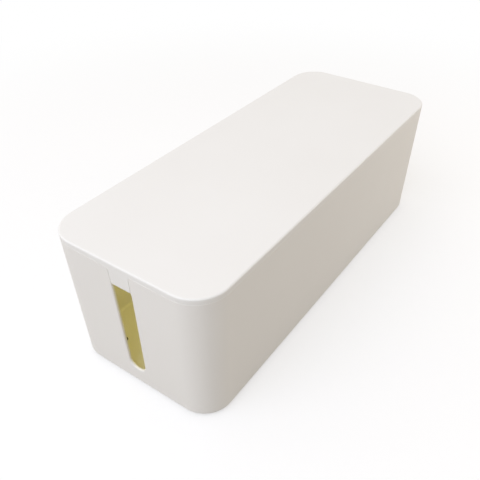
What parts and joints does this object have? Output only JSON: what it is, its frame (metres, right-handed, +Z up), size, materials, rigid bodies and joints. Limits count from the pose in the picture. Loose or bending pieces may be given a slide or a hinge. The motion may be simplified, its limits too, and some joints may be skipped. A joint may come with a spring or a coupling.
{
  "type": "cable management box",
  "caption": "Long moulded box with rounded corners that hides a power strip and its leads, with a cable slot in each short end and a flush lift-off lid.",
  "frame": {"origin": "middle of the footprint, on the surface that the feet stand on", "axes": "+X along the length, towards the short end that the picture hides; +Y across, away from the long side that the picture shows; +Z up"},
  "size_m": [0.406, 0.158, 0.134],
  "materials": {
    "box_plastic": "satin, fine spark-eroded texture, off-white",
    "lid_plastic": "satin, fine spark-eroded texture, off-white",
    "foot_rubber": "matte"
  },
  "bodies": {
    "box": {"tub": "box_plastic", "foot_front_left": "foot_rubber", "foot_front_right": "foot_rubber", "foot_back_left": "foot_rubber", "foot_back_right": "foot_rubber"},
    "lid": {"lid": "lid_plastic"}
  },
  "joints": [
    {"name": "lid_lift", "type": "slide", "parent": "box", "child": "lid", "axis": [0, 0, 1], "range_m": [0, 0.16]}
  ]
}
